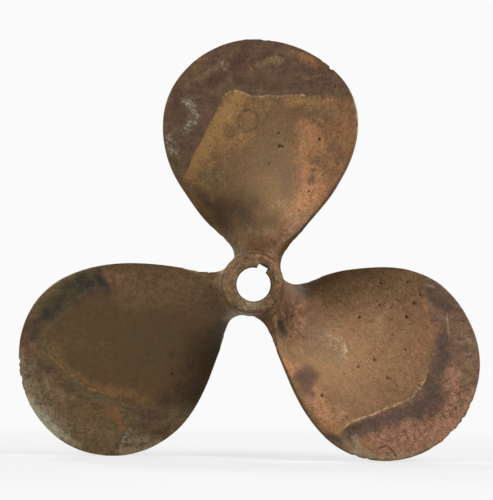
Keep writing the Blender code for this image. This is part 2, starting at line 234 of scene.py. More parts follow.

# Where each finish lies: its name and its soft strokes, each with its strength, its half width and
# the points it runs through, in pixels of the photograph. A few strokes are painted shade or
# painted highlights, as marked below
AFT_STAINS_AND_PAINTED_LIGHT = (
    # Top blade, the worn patch
    ("speckled", (0.7, 22, (312, 130), (318, 160), (310, 200))),
    ("gold", (1, 9, (238, 97), (226, 112), (212, 133), (202, 150)),
     (0.9, 7, (202, 150), (189, 172)), (0.4, 12, (250, 122), (242, 140)),
     (0.45, 12, (240, 99), (262, 104)), (0.35, 16, (205, 168), (225, 150)),
     (0.35, 10, (248, 238), (264, 242)), (0.5, 12, (308, 130), (316, 140)),
     (0.6, 6, (306, 143), (315, 157)), (0.7, 7, (290, 102), (304, 102), (318, 104)),
     (0.45, 6, (235, 122)), (0.8, 7, (240, 246)), (0.5, 5, (198, 181), (206, 191), (212, 199))),
    ("copper", (0.55, 12, (330, 102), (344, 110), (352, 126)),
     (0.5, 6, (350, 102), (356, 118), (355, 136)), (0.5, 12, (244, 240), (272, 244)),
     (0.95, 9, (305, 127), (313, 134), (318, 142)),
     (0.6, 13, (340, 128), (350, 160), (334, 182), (318, 196)),
     (0.62, 11, (302, 150), (306, 172), (306, 192), (300, 206)), (0.45, 14, (322, 152), (322, 182)),
     (0.45, 6, (320, 118)), (0.45, 5, (315, 211))),
    ("tan", (0.6, 14, (332, 106), (350, 118), (354, 140)),
     (1, 13, (242, 234), (252, 243), (268, 240)), (0.45, 10, (205, 176), (222, 180))),
    # The pale stroke from (274, 203) to (290, 203) is partly paler metal and partly a painted
    # highlight
    ("pale", (0.55, 4, (353, 102), (358, 118), (357, 134)), (0.26, 8, (274, 203), (290, 203))),
    ("dust", (0.75, 15, (268, 158), (286, 168), (290, 184))),
    # The umber stroke from (309, 221) to (291, 242) is painted shade along the rim at the root
    ("umber", (0.75, 6, (312, 179)), (0.45, 4.5, (309, 221), (300, 231), (291, 242)),
     (0.5, 1.6, (308, 156), (316, 151), (326, 155), (328, 164), (321, 171), (311, 169)),
     (0.66, 14.5, (225, 206), (232, 208), (243, 211)), (0.36, 10, (248, 226), (262, 218)),
     (0.45, 6, (266, 223), (274, 219)), (0.55, 8, (200, 190), (214, 210), (228, 228)),
     (0.25, 12, (246, 194), (258, 200)),
     (0.5, 1.8, (248, 110), (256, 113), (259, 121), (255, 129), (247, 131), (239, 127), (238, 118),
      (242, 111), (248, 110))),
    # The maroon stroke from (310, 220) to (290, 243) is painted shade along that same rim
    ("maroon", (0.6, 4.5, (310, 220), (300, 231), (290, 243)), (0.45, 5, (332, 188), (326, 198)),
     (0.7, 8, (318, 161)), (0.3, 9, (330, 176), (338, 184)), (0.35, 6, (332, 170)),
     (0.3, 5, (296, 226))),
    ("grey", (0.45, 8, (336, 150), (346, 162)), (0.4, 6, (340, 176))),
    ("pink", (0.36, 9, (288, 215), (298, 216), (292, 230), (284, 240)),
     (0.5, 3, (307, 220), (309, 222)), (0.4, 8, (274, 238), (270, 250))),
    # Top blade, the old skin above and left of the patch
    ("red_skin", (0.74, 70, (190, 130), (200, 80), (250, 60), (320, 75))),
    ("speckled", (0.6, 14, (190, 90), (240, 55), (300, 65), (330, 85))),
    ("dusk", (0.2, 8, (280, 76), (300, 86), (338, 88)),
     (0.5, 10, (180, 120), (196, 104), (176, 146)), (0.6, 5, (197, 125))),
    ("tan", (0.35, 5, (306, 78), (320, 76)), (0.7, 5, (260, 65), (268, 61), (276, 58), (280, 60)),
     (0.6, 6, (190, 88), (204, 78), (216, 70), (226, 64)), (0.35, 5, (179, 140))),
    ("umber", (0.45, 8, (236, 80), (262, 84), (290, 88))),
    ("maroon", (0.75, 8, (244, 46), (242, 60), (226, 70), (214, 80)),
     (0.6, 8, (176, 106), (190, 92), (206, 80))),
    ("copper", (0.4, 4, (232, 56), (246, 62), (252, 70)), (0.4, 5, (284, 48), (304, 56), (320, 66)),
     (0.55, 5, (300, 57), (312, 62)), (0.42, 4, (210, 56), (200, 61), (193, 68))),
    ("verdigris", (0.42, 7, (187, 100), (195, 108), (195, 119)), (0.3, 4, (192, 122), (186, 130)),
     (0.14, 12, (180, 130), (172, 144)), (0.34, 5, (168, 138), (172, 148), (176, 156)),
     (0.34, 4, (221, 62), (226, 68))),
    ("pale", (0.3, 10, (190, 104), (194, 114))),
    # Left blade
    ("olive", (0.85, 46, (70, 340), (110, 344), (150, 340))),
    ("tan", (0.52, 26, (130, 290), (160, 290), (200, 286)),
     (0.3, 8, (52, 292), (66, 280), (80, 273)), (0.6, 9, (44, 376), (56, 392), (60, 402)),
     (0.6, 12, (72, 418), (92, 430), (106, 438))),
    ("soot", (0.48, 9, (97, 273), (96, 281), (84, 282)),
     (0.5, 4, (98, 275), (104, 284), (108, 291)), (0.42, 15, (86, 288), (70, 298), (56, 310)),
     (0.4, 10, (80, 281), (66, 290), (55, 302), (47, 314)), (0.25, 9, (104, 290), (112, 302)),
     (0.5, 8, (46, 316), (38, 326), (34, 336)), (0.5, 6, (128, 432), (122, 442))),
    ("pink", (0.42, 9, (103, 275), (112, 280), (124, 278)),
     (0.45, 6, (22, 352), (26, 336), (36, 352))),
    ("gold", (0.25, 20, (64, 336), (84, 344), (104, 352)),
     (0.42, 7, (53, 350), (60, 362), (74, 375), (92, 387), (110, 392)),
     (0.5, 8, (110, 390), (134, 396), (142, 400))),
    ("copper", (0.25, 6, (54, 354), (62, 364), (116, 394), (134, 398)),
     (0.3, 14, (48, 372), (66, 396), (90, 420)), (0.62, 6, (112, 412), (118, 420), (123, 428)),
     (0.3, 9, (98, 406), (112, 414))),
    ("umber", (0.95, 12, (222, 330), (213, 350), (206, 368), (198, 386), (192, 396)),
     (0.55, 18, (200, 340), (186, 372), (172, 398)), (0.45, 4, (171, 355)), (0.3, 3, (148, 356)),
     (0.5, 5, (153, 434), (162, 432))),
    ("maroon", (0.4, 6, (24, 345), (28, 333), (33, 322)),
     (0.22, 12, (140, 408), (152, 418), (166, 412)), (0.6, 5, (166, 428), (166, 436))),
    ("speckled", (0.8, 16, (32, 350), (36, 380), (52, 410), (80, 430), (120, 440), (150, 436))),
    ("dusk", (0.45, 8, (40, 362), (56, 374), (70, 390)), (0.5, 5, (41, 380)),
     (0.3, 9, (84, 402), (100, 410))),
    ("pale", (0.4, 8, (34, 366), (34, 384), (42, 402)), (0.4, 5, (46, 384), (56, 392), (72, 396)),
     (0.6, 1.4, (43, 374), (48, 386), (52, 398)), (0.5, 1.4, (36, 380), (41, 396)),
     (0.8, 8, (46, 410), (56, 420), (66, 429)),
     (0.95, 4, (21, 352), (23, 378), (28, 394), (36, 410), (48, 425), (62, 437), (78, 446)),
     (0.9, 4, (122, 452), (142, 449), (160, 444)), (0.75, 5, (132, 440), (146, 439))),
    ("verdigris", (0.55, 4, (41, 412), (48, 421), (58, 431), (68, 438)),
     (0.9, 3.2, (28, 398), (38, 415), (47, 426), (57, 436)), (0.6, 4, (46, 420), (54, 428)),
     (0.32, 7, (26, 372), (30, 390), (38, 406)), (0.4, 3.5, (130, 430), (125, 438), (121, 448))),
    ("red_skin", (0.6, 12, (28, 320), (24, 345)), (0.6, 14, (146, 420), (162, 412))),
    # Right blade, the worn patch
    ("speckled", (1, 80, (330, 300), (400, 350), (430, 400))),
    ("umber", (0.32, 9, (336, 277), (350, 273), (368, 271)), (0.35, 7, (308, 292), (316, 288)),
     # The umber stroke from (297, 284) to (301, 292) is painted shade on the right root's fillet
     (0.5, 9, (297, 284), (301, 292)), (0.3, 5, (289, 350), (290, 357)), (0.75, 6, (315, 375)),
     (0.35, 6, (316, 310)), (0.55, 6, (302, 377), (309, 374)), (0.45, 4.5, (414, 303)),
     (0.3, 4, (406, 317), (375, 361)), (0.2, 14, (356, 388), (374, 392))),
    ("tan", (0.3, 18, (390, 300), (380, 320)), (0.5, 6, (469, 366), (469, 380))),
    ("warm", (0.9, 70, (350, 300), (400, 340), (360, 400))),
    ("dust", (0.75, 16, (312, 328), (322, 342), (336, 352))),
    ("pink", (0.45, 12, (292, 300), (298, 312), (302, 326)), (0.32, 4, (313, 282), (330, 276)),
     (0.6, 5, (279, 306), (281, 316)), (0.45, 11, (312, 400), (328, 418), (340, 414))),
    ("copper", (0.8, 9, (297, 284), (300, 300)), (0.35, 10, (286, 298), (292, 312), (292, 330)),
     (0.65, 4, (292, 365), (294, 372), (300, 368)), (0.6, 4, (284, 361), (291, 375)),
     (0.5, 4, (392, 456), (410, 454)), (0.9, 8, (314, 392), (320, 402), (326, 416), (334, 427)),
     (0.45, 5, (424, 300), (430, 322), (434, 340))),
    # The maroon spot at (301, 287) is painted shade on that same fillet
    ("maroon", (0.5, 7, (301, 287)), (0.35, 8, (298, 300)), (0.42, 7, (312, 320)),
     (0.4, 5, (294, 356)), (1, 8, (302, 376), (308, 373), (307, 381)),
     (0.9, 6, (304, 377), (307, 380)), (0.6, 5, (306, 390), (312, 396))),
    ("grey", (0.5, 8, (313, 320)), (0.45, 8, (308, 353))),
    ("soot", (0.8, 4.2, (280, 323), (282, 328), (284, 333))),
    ("gold", (0.9, 2.5, (275, 317), (276, 326)), (0.6, 5, (335, 432), (346, 424), (355, 420))),
    # Right blade, the old skin outside the patch
    ("pink_skin", (1, 60, (440, 310), (450, 380), (420, 430), (370, 440))),
    ("dusk", (0.8, 8, (432, 290), (438, 302), (446, 307)),
     (0.95, 9, (442, 340), (444, 356), (437, 369), (428, 379)),
     (0.95, 10, (432, 390), (428, 402), (421, 410)), (0.6, 6, (439, 402), (439, 410)),
     (0.45, 5, (432, 416)), (0.6, 6, (376, 427), (393, 427)),
     (0.8, 8, (410, 412), (388, 417), (366, 425), (350, 434))),
    # The tan strokes along the lower rim, from (350, 442) to (405, 453), are partly tan metal and
    # partly painted light on the rim where it turns down to the floor
    ("tan", (0.6, 5, (437, 386)), (0.75, 10, (350, 442), (362, 450), (382, 454)),
     (0.8, 5, (361, 452), (370, 455)), (0.6, 5, (385, 454), (405, 453)),
     (1, 6, (347, 436), (356, 439))),
    ("soot", (0.4, 6, (431, 396), (424, 404)), (0.45, 5, (330, 436), (338, 440))),
    ("umber", (0.6, 5, (347, 429), (358, 427)), (0.35, 8, (452, 296), (462, 318))),
    ("maroon", (0.9, 5, (330, 436), (338, 440)),
     (0.9, 1.2, (379, 448), (386, 446), (392, 450), (396, 456))),
    # The pale strokes along the lower rim, from (352, 452) to (432, 444), are likewise partly
    # painted light
    ("pale", (0.8, 1, (447, 312), (448, 326), (449, 340)), (0.85, 5, (358, 451), (368, 454)),
     (0.45, 3, (388, 456), (410, 454)),
     (0.5, 3, (352, 452), (368, 456), (392, 457), (415, 453), (432, 444)),
     (0.85, 4.5, (350, 435), (356, 440), (358, 446)),
     (0.5, 0.7, (327, 333), (338, 340), (347, 351)), (0.5, 0.7, (341, 336), (345, 345), (345, 356)),
     # The wide pale stroke from (328, 338) to (342, 356) is partly paler metal and partly a painted
     # highlight, and the dot at (461, 322) is a painted glint
     (0.26, 11, (328, 338), (342, 356)), (0.7, 0.8, (344, 342), (347, 349), (344, 354)),
     (0.9, 1, (461, 322), (462, 323))),
    ("verdigris", (0.36, 3, (428, 284), (434, 287)), (0.2, 7, (466, 328), (469, 345), (468, 360)),
     (0.38, 3, (350, 436), (356, 440))),
    ("pink", (0.7, 10, (452, 376), (456, 392), (448, 408)),
     (1, 12, (380, 440), (404, 441), (424, 432), (442, 418)), (0.6, 9, (384, 428), (408, 428)),
     (0.6, 6, (374, 446), (392, 447)),
     (0.9, 3.5, (432, 444), (450, 429), (461, 415), (468, 402), (473, 390))),
    ("copper", (0.7, 9, (384, 450), (404, 449), (424, 442), (446, 424)),
     (0.85, 7, (370, 444), (396, 453)), (0.55, 6, (440, 334), (439, 348)),
     (0.8, 6, (362, 446), (376, 446))),
    ("crackle", (1, 13, (380, 440), (410, 438), (440, 420), (456, 396)),
     (0.6, 12, (286, 296), (296, 316), (304, 340))),
    # Hub
    ("tan", (0.95, 12, (236, 262), (228, 276), (228, 290), (236, 304)),
     (0.3, 8, (237, 264), (231, 278), (232, 292), (238, 302)),
     (0.9, 10, (240, 250), (256, 254), (272, 256)),
     (0.7, 8, (276, 270), (280, 284), (278, 298), (268, 308)),
     (0.9, 8, (240, 303), (252, 306), (264, 303))),
    # Painted highlights on the hub's shoulder: the pale line from (226, 320) to (245, 311), the
    # strokes from (233, 251) to (242, 246) and the thin arc from (237, 266) to (243, 262)
    ("pale", (1, 4.5, (226, 320), (236, 313), (245, 311)), (0.4, 4, (236, 271), (235, 282)),
     (0.45, 4, (233, 251), (238, 256)), (0.7, 6, (242, 246)),
     (1, 6, (243, 302), (252, 305), (258, 303)), (0.5, 3, (267, 296)),
     (0.6, 1.2, (237, 266), (243, 262))),
    ("umber", (0.6, 4, (261, 259), (268, 264)), (0.4, 5, (220, 278), (219, 288)),
     (0.3, 4, (279, 267)), (0.5, 3, (272, 274), (273, 284), (271, 294))),
    ("pink", (0.3, 5, (242, 262), (254, 258), (264, 262)),
     (0.6, 3, (235, 274), (234, 282), (236, 291)), (0.9, 4, (240, 310), (252, 313), (262, 310))),
    ("copper", (0.25, 8, (244, 256), (258, 256), (270, 262)),
     (0.3, 8, (274, 262), (280, 280), (280, 300)), (0.4, 5, (228, 296), (234, 306), (242, 311))),
    ("gold", (0.7, 4, (228, 270), (225, 282), (228, 294)), (0.6, 1.5, (222, 271), (231, 269)),
     (0.6, 1.5, (221, 278), (230, 276))),
    ("verdigris", (0.4, 3, (248, 303), (254, 305))),
    ("maroon", (0.4, 2.5, (240, 262), (248, 258), (260, 260)),
     (0.6, 3, (234, 308), (244, 312), (258, 313), (268, 309)),
     (0.35, 4, (235, 268), (232, 282), (236, 298))),
    # The dark line along the keyway's edge is painted shade in the keyway
    ("soot", (1, 1.7, (262, 264.5), (267, 267), (269, 269.5))),
    ("speckled", (0.45, 22, (250, 272), (250, 298))),
    ("crackle", (0.6, 10, (240, 299), (252, 305), (266, 300))),
)

# The same for the forward side of the blades, which the photograph doesn't show
FORWARD_STAINS = (
    ("speckled", (0.8, 60, (230, 120), (290, 120)), (0.8, 60, (120, 340), (80, 400)),
     (0.9, 60, (400, 340), (380, 410))),
    ("red_skin", (0.7, 60, (200, 90), (300, 80)), (0.6, 60, (50, 330), (90, 420))),
    ("pink_skin", (0.7, 60, (450, 340), (400, 430))),
    ("gold", (0.6, 20, (240, 120), (262, 165))),
    ("copper", (0.7, 12, (205, 110), (212, 140), (206, 165)), (0.65, 12, (90, 410), (120, 425)),
     (0.7, 11, (400, 285), (425, 300))),
    ("dust", (0.7, 20, (300, 120), (290, 150)), (0.6, 24, (370, 320), (350, 360))),
    ("verdigris", (0.4, 6, (312, 74), (330, 92), (338, 112)),
     (0.4, 5, (44, 318), (34, 338), (30, 362)), (0.5, 7, (450, 398), (434, 418), (412, 434))),
    ("maroon", (0.6, 14, (230, 62), (262, 55), (300, 66)),
     (0.6, 14, (60, 300), (45, 380), (75, 425))),
    ("dusk", (0.6, 12, (200, 76), (240, 70), (280, 80)), (0.6, 12, (50, 340), (70, 390)),
     (0.8, 10, (430, 330), (434, 380), (400, 410))),
    ("umber", (0.7, 14, (270, 215), (250, 240)), (0.7, 14, (200, 310), (180, 350)),
     (0.6, 14, (300, 330), (320, 370))),
    ("soot", (0.6, 10, (345, 130), (338, 150))),
    ("olive", (0.8, 50, (110, 330), (160, 350))),
    ("tan", (0.6, 20, (120, 320), (150, 350))),
    ("pink", (0.7, 13, (460, 350), (445, 400), (400, 435))),
    ("grey", (0.6, 12, (330, 400), (350, 420))),
)

# The old skin's outline on each blade, in pixels of the photograph, closed well off the blade
OLD_SKIN = (
    ((150, 200), (171, 187), (181.3, 180.7), (187.5, 170), (192, 157.8), (201.2, 140.9),
     (208.9, 124.1), (215, 113.4), (221.1, 99.6), (225.7, 92.7), (230.3, 89.6), (236.4, 89.6),
     (244.1, 91.9), (250.2, 95), (259.4, 95.8), (267, 94.7), (276.2, 95.8), (283.9, 94.7),
     (293.1, 94.7), (302.3, 93.5), (305.3, 95), (319.1, 96.1), (321.4, 98.8), (331.3, 98.8),
     (339, 96.5), (346.6, 92), (352, 87.3), (380, 65), (380, 10), (130, 10)),
    ((110, 240), (94.5, 269), (101, 276.5), (107.8, 289.7), (92.9, 291.4), (79.6, 298),
     (69.6, 311.3), (58, 321.3), (48.1, 329.5), (44.8, 339.5), (47.3, 349.4), (51.4, 359.4),
     (58, 366.8), (66.3, 371.8), (74.6, 379.3), (84.6, 387.6), (92.9, 391.7), (102.8, 393.4),
     (116.1, 399), (131, 406), (145, 405), (160, 403), (176, 397), (195, 385), (220, 375),
     (230, 490), (-20, 490), (-20, 240)),
    ((440, 240), (423.1, 277.1), (423.9, 283.6), (420.7, 296.5), (425.6, 299.7), (430.4, 320.7),
     (434.4, 336.8), (435.2, 344.9), (430.4, 359.4), (428, 375.5), (422.3, 386.8),
     (414.3, 396.5), (401.4, 403.8), (385.2, 409.4), (373.9, 415.1), (361, 419.1),
     (351.3, 422.3), (346.5, 427.2), (343.3, 432), (335.2, 433.6), (327.1, 435.2), (305, 440),
     (305, 500), (520, 500), (520, 240)),
)
FORWARD_SKIN = (
    ((150, 130), (185, 118), (215, 100), (250, 92), (290, 98), (325, 118), (372, 128), (380, 10),
     (130, 10)),
    ((80, 240), (76, 275), (70, 310), (62, 340), (66, 372), (84, 400), (112, 425), (128, 470),
     (-20, 490), (-20, 240)),
    ((470, 250), (438, 300), (425, 335), (428, 365), (412, 398), (380, 420), (355, 470),
     (520, 500), (520, 250)),
)

# The bright broken lip along parts of those outlines: its strength and points, and its half width
LIP_WIDTH = 3
LIPS = (
    (0.9, (224, 94), (231, 89.6), (244, 92), (259, 96), (284, 94.7), (302, 93.5)),
    (0.6, (302, 93.5), (319, 96), (331, 98.8)),
    (0.9, (428, 376), (414, 396.5), (385, 409.4), (361, 419), (346, 427)),
    (0.5, (45, 340), (51, 359), (66, 372), (85, 387.6), (103, 393.4)),
)

# Casting pits: their middle and half width in pixels, and their depth in half millimetres. Before
# them, the share of that width that they are cut with, and the depth from which they are darkest
HALF_MILLIMETRES = 2000
PIT_SPREAD = 0.8
DARK_PIT = 0.5
PITS = (
    (320, 139, 1.9, 0.9), (280, 146, 2.0, 0.8), (283, 147, 1.5, 0.6), (279, 133, 1.5, 0.5),
    (269, 164, 1.5, 0.4), (309, 191, 1.3, 0.6), (335, 87, 1.3, 0.6), (215, 128, 1.2, 0.4),
    (299, 210, 2.3, 0.3), (338, 137, 1.2, 0.4), (225, 132, 1.3, 0.3), (246, 112, 1.1, 0.3),
    (148, 355, 1.7, 0.3), (172, 355, 2.8, 0.2), (172, 374, 1.7, 0.9), (178, 385, 1.3, 0.6),
    (153, 362, 1.2, 0.3), (414, 303, 3.0, 0.35), (406, 317, 2.2, 0.8), (380, 283, 1.6, 0.5),
    (379, 305, 1.4, 0.5), (392, 335, 1.3, 0.5), (405, 350, 1.3, 0.6), (374, 360, 2.5, 0.4),
    (358, 367, 1.5, 0.5), (387, 378, 1.8, 0.5), (390, 379, 1.5, 0.4), (322, 396, 2.0, 0.6),
    (359, 317, 1.8, 0.5), (292, 316, 1.8, 0.6), (384, 334, 1.1, 0.4), (344, 374, 1.0, 0.5),
    (304, 337, 1.2, 0.4), (407, 282, 1.3, 0.5), (420, 295, 1.2, 0.5), (291, 337, 1.2, 0.5),
    (333, 330, 1.0, 0.4), (353, 331, 1.0, 0.4),
)

# Nicks in the rims and, where the depth is less than zero, burrs on them: their middle and half
# width in pixels, and how deep they cut, in millimetres
MILLIMETRES = 1000
NICKS = (
    (331, 68.6, 2.0, 1.3), (323.5, 61.8, 1.6, 0.2), (272, 40.4, 2.0, 0.25),
    (264.5, 39.7, 3.2, 0.5), (246.5, 38.3, 3.0, -0.5), (19.3, 361, 2.2, 0.9),
    (19.2, 367.5, 1.3, 0.6), (21.3, 378.5, 3.2, 1.0), (24.4, 390.6, 1.4, 0.6),
    (470, 403.5, 2.4, 0.9), (462, 418, 1.6, 1.1), (450.1, 431.8, 2.0, 0.6), (433, 446, 1.8, 0.4),
    (441.5, 441.2, 2.5, -0.5), (456, 427, 2.4, -0.5), (461, 421.3, 1.6, -0.5),
    (465, 415.5, 2.6, -0.5), (355, 456, 2.4, 0.6), (367, 458.5, 1.8, 0.5), (163, 445, 1.8, 0.7),
)


def blend(start, end, share):
    return start + (end - start) * share


def smoothstep(value, low, high):
    share = np.clip((value - low) / (high - low), 0, 1)
    return share * share * (3 - 2 * share)


def fall(value, low, high):
    return 1 - smoothstep(value, low, high)


# Camera

def camera_axes():
    """The camera's right, up and back directions, seen from its place astern of the wheel."""
    back = Vector((math.sin(CAMERA_ROUND) * math.cos(CAMERA_UP),
                   -math.cos(CAMERA_ROUND) * math.cos(CAMERA_UP), math.sin(CAMERA_UP)))
    level = Vector((math.cos(CAMERA_ROUND), math.sin(CAMERA_ROUND), 0))
    upright = back.cross(level)
    right = level * math.cos(CAMERA_ROLL) + upright * math.sin(CAMERA_ROLL)
    return right, back.cross(right), back


def camera_frame():
    """The camera's place and turn, aimed so that the shaft's axis falls on its own pixel."""
    right, up, back = camera_axes()
    across = (PHOTO_WIDTH / 2 - AXIS_PIXEL[0]) / PIXELS_PER_METRE
    above = (AXIS_PIXEL[1] - PHOTO_HEIGHT / 2) / PIXELS_PER_METRE
    place = back * CAMERA_DISTANCE
    look = (place - right * across - up * above).normalized()
    side = up.cross(look).normalized()
    return place, Matrix((side, look.cross(side), look)).transposed()


def photo_pixels(places):
    """Where each place falls in the photograph, as columns and rows of pixels."""
    eye, turn = camera_frame()
    seen = (places - np.array(eye)) @ np.array(turn)
    scale = PIXELS_PER_METRE * CAMERA_DISTANCE / -seen[:, 2]
    return np.stack([PHOTO_WIDTH / 2 + seen[:, 0] * scale, PHOTO_HEIGHT / 2 - seen[:, 1] * scale], 1)


def add_camera():
    place, turn = camera_frame()
    data = bpy.data.cameras.new("studio camera")
    data.sensor_fit = "HORIZONTAL"
    data.sensor_width = SENSOR
    data.lens = SENSOR * PIXELS_PER_METRE * CAMERA_DISTANCE / PHOTO_WIDTH
    camera = bpy.data.objects.new("studio_camera", data)
    camera.matrix_world = Matrix.Translation(place) @ turn.to_4x4()
    bpy.context.scene.collection.objects.link(camera)
    bpy.context.scene.camera = camera


# Hand tools

def alone(thing):
    """Selects one object and nothing else."""
    for other in bpy.context.view_layer.objects:
        other.select_set(False)
    thing.select_set(True)
    bpy.context.view_layer.objects.active = thing


def named(name):
    thing = bpy.context.view_layer.objects.active
    thing.name = name
    thing.data.name = name
    alone(thing)
    return thing


def read(items, what, width=3, kind=float):
    """One row of numbers for each vertex, edge or face."""
    out = np.empty(len(items) * width, dtype=kind)
    items.foreach_get(what, out)
    return out.reshape(-1, width)


def corners(thing):
    return read(thing.data.vertices, "co")


def normals(thing):
    return read(thing.data.vertices, "normal")


def move_corners(thing, places):
    thing.data.vertices.foreach_set("co", places.astype(np.float32).ravel())
    thing.data.update()


def pick(thing, kind, chosen):
    """Selects vertices, edges or faces by a row of yes and no, and enters edit mode with them."""
    bpy.ops.object.mode_set(mode="OBJECT")
    domains = {"VERT": thing.data.vertices, "EDGE": thing.data.edges, "FACE": thing.data.polygons}
    for name, domain in domains.items():
        marks = chosen if name == kind else np.zeros(len(domain), dtype=bool)
        domain.foreach_set("select", marks)
    bpy.context.tool_settings.mesh_select_mode = [name == kind for name in domains]
    bpy.ops.object.mode_set(mode="EDIT")


def pick_edges(thing, test):
    """Selects the edges whose two ends pass the test, and no others."""
    bpy.ops.object.mode_set(mode="OBJECT")
    places = corners(thing)[read(thing.data.edges, "vertices", 2, int)]
    pick(thing, "EDGE", test(places[:, 0], places[:, 1]))


def boolean(body, other, operation):
    alone(body)
    step = body.modifiers.new(operation.lower(), "BOOLEAN")
    step.operation = operation
    step.solver = "EXACT"
    step.object = other
    bpy.ops.object.modifier_apply(modifier=step.name)
    bpy.data.objects.remove(other)


# Hub

def bore_radius(y):
    return BORE_FORWARD_RADIUS - (HUB_FORWARD - y) * BORE_TAPER


def barrel_radius(y):
    return blend(AFT_RADIUS, FORWARD_RADIUS, (y - HUB_AFT) / (HUB_FORWARD - HUB_AFT))


def off_axis(places):
    return np.hypot(places[..., 0], places[..., 2])


def off_barrel(places):
    """How far each place lies outside the hub's barrel, which is a little out of true."""
    return off_axis(places - BARREL_SHIFT) - barrel_radius(places[..., 1])


def make_hub():
    """A cylinder with both ends inset and bridged for the bore, and its rims rounded over."""
    middle = (HUB_AFT + HUB_FORWARD) / 2
    length = HUB_FORWARD - HUB_AFT
    bore = bore_radius(middle)
    bpy.ops.mesh.primitive_cylinder_add(vertices=HUB_STEPS, radius=AFT_RADIUS, depth=length,
                                        location=(0, middle, 0), rotation=(math.pi / 2, 0, 0))
    hub = named("hub")
    bpy.ops.object.transform_apply(location=True, rotation=True, scale=True)
    pick(hub, "FACE", np.abs(read(hub.data.polygons, "normal")[:, 1]) > END_TURN)
    bpy.ops.mesh.inset(thickness=AFT_RADIUS - bore)
    bpy.ops.mesh.bridge_edge_loops()

    def on_ring(radius, ends=(-1, 1)):
        def test(start, stop):
            chosen = np.abs(start[:, 1] - stop[:, 1]) < SAME_PLACE
            chosen &= np.isin(np.sign(start[:, 1] - middle), ends)
            for place in (start, stop):
                chosen &= np.abs(np.abs(place[:, 1] - middle) - length / 2) < SAME_PLACE
                chosen &= np.abs(off_axis(place) - radius) < SAME_RADIUS
            return chosen
        return test

    for end, shoulder in ((-1, AFT_SHOULDER), (1, FORWARD_SHOULDER)):
        pick_edges(hub, on_ring(AFT_RADIUS, (end,)))
        bpy.ops.mesh.bevel(offset=shoulder, segments=SHOULDER_STEPS, clamp_overlap=False)
    pick_edges(hub, on_ring(bore))
    bpy.ops.mesh.bevel(offset=BORE_CHAMFER, segments=CHAMFER_STEPS, clamp_overlap=False)
    pick_edges(hub, lambda start, end: np.abs(start[:, 1] - end[:, 1]) > length / 2)
    bpy.ops.mesh.subdivide(number_cuts=BARREL_CUTS)
    pick_edges(hub, lambda start, end: np.abs(off_axis(start) - off_axis(end)) > RING_LEAST)
    bpy.ops.mesh.subdivide(number_cuts=RING_CUTS)
    bpy.ops.object.mode_set(mode="OBJECT")
    taper_hub(hub, bore)
    return hub


def taper_hub(hub, bore):
    """Draws the barrel out to its tapered sides and the bore in to its own taper."""
    places = corners(hub)
    radius = off_axis(places)
    y = places[:, 1]
    inner = fall(radius, bore, blend(bore, AFT_RADIUS, BORE_DRAWN))
    outer = smoothstep(radius, blend(bore, AFT_RADIUS, BARREL_DRAWN), AFT_RADIUS)
    drawn = radius + inner * (bore_radius(y) - bore) + outer * (barrel_radius(y) - AFT_RADIUS)
    places[:, 0] *= drawn / radius
    places[:, 2] *= drawn / radius
    places += outer[:, None] * BARREL_SHIFT
    crown_start = blend(bore, AFT_RADIUS, CROWN_START)
    crown = CROWN * smoothstep(radius, crown_start, CROWN_END * AFT_RADIUS)
    places[:, 1] += crown * smoothstep(-y, -HUB_AFT / 2, -HUB_AFT)
    move_corners(hub, places)


# Blades

def cubic(points, share):
    rest = 1 - share
    weights = (rest ** 3, 3 * rest ** 2 * share, 3 * rest * share ** 2, share ** 3)
    return np.stack([sum(w * p[axis] for w, p in zip(weights, points)) for axis in (0, 1)], 1)


def rims(blade):
    """Both rims of a blade drawn flat, as (across, up), from inside the hub to the tip."""
    widest = (blade.half_width, WIDEST_AT + WIDEST_SHIFT * (blade.tip - RADIUS))
    above = (widest[0], widest[1] - SIDE_HANDLE_DROP)
    share = np.arange(SIDE_STATIONS) / SIDE_STATIONS
    angle = LAST_TIP_ANGLE * np.arange(TIP_STATIONS) / (TIP_STATIONS - 1)
    tip = np.stack([widest[0] * np.cos(angle),
                    widest[1] + (blade.tip - widest[1]) * np.sin(angle)], 1)
    out = []
    near_root = (NEAR_ROOT[0] + blade.near_root_out, NEAR_ROOT[1])
    far_root = (FAR_ROOT[0] + blade.far_root_out, FAR_ROOT[1])
    for root, handle, side in ((near_root, NEAR_ROOT_HANDLE, 1), (far_root, FAR_ROOT_HANDLE, -1)):
        inside = np.linspace(ROOT_RADIUS / math.hypot(*root), 1, ROOT_STATIONS, endpoint=False)
        outside = np.vstack([cubic((root, handle, above, widest), share), tip])
        out.append(np.vstack([np.outer(inside, root), own_outline(blade, outside, side)]))
    return out


def own_outline(blade, rim, side):
    """Moves a rim, along lines from the blade's middle, to the outline that this blade has."""
    known = np.arange(0, 360, OUTLINE_EVERY)
    every = np.interp(np.arange(360), known, OUTLINES[blade.name], period=360)
    blur = range(-OUTLINE_BLUR, OUTLINE_BLUR + 1)
    soft = sum(np.roll(every, step) for step in blur) / len(blur)
    offset = rim * (side, 1) - (0, BLADE_MIDDLE)
    length = np.hypot(*offset.T)
    angle = np.degrees(np.arctan2(offset[:, 1], offset[:, 0]))
    moved = np.interp(angle, np.arange(360), soft, period=360) / MILLIMETRES
    fade = smoothstep(rim[:, 1], math.hypot(*NEAR_ROOT), OUTLINE_FADE * math.hypot(*NEAR_ROOT))
    return rim + offset * (side, 1) * (moved * fade / length)[:, None]


def pitch_at(radius):
    share = (radius - AFT_RADIUS) / (FULL_PITCH_RADIUS - AFT_RADIUS)
    return blend(ROOT_PITCH, PITCH, np.clip(share, 0, 1))


def fillet_at(radius):
    drop = FILLET_RADIUS - (radius - (AFT_RADIUS + FORWARD_RADIUS) / 2 + FILLET_SINK)
    drop = np.clip(drop, 0, FILLET_LIMIT * FILLET_RADIUS)
    return FILLET_RADIUS - np.sqrt(FILLET_RADIUS ** 2 - drop ** 2)


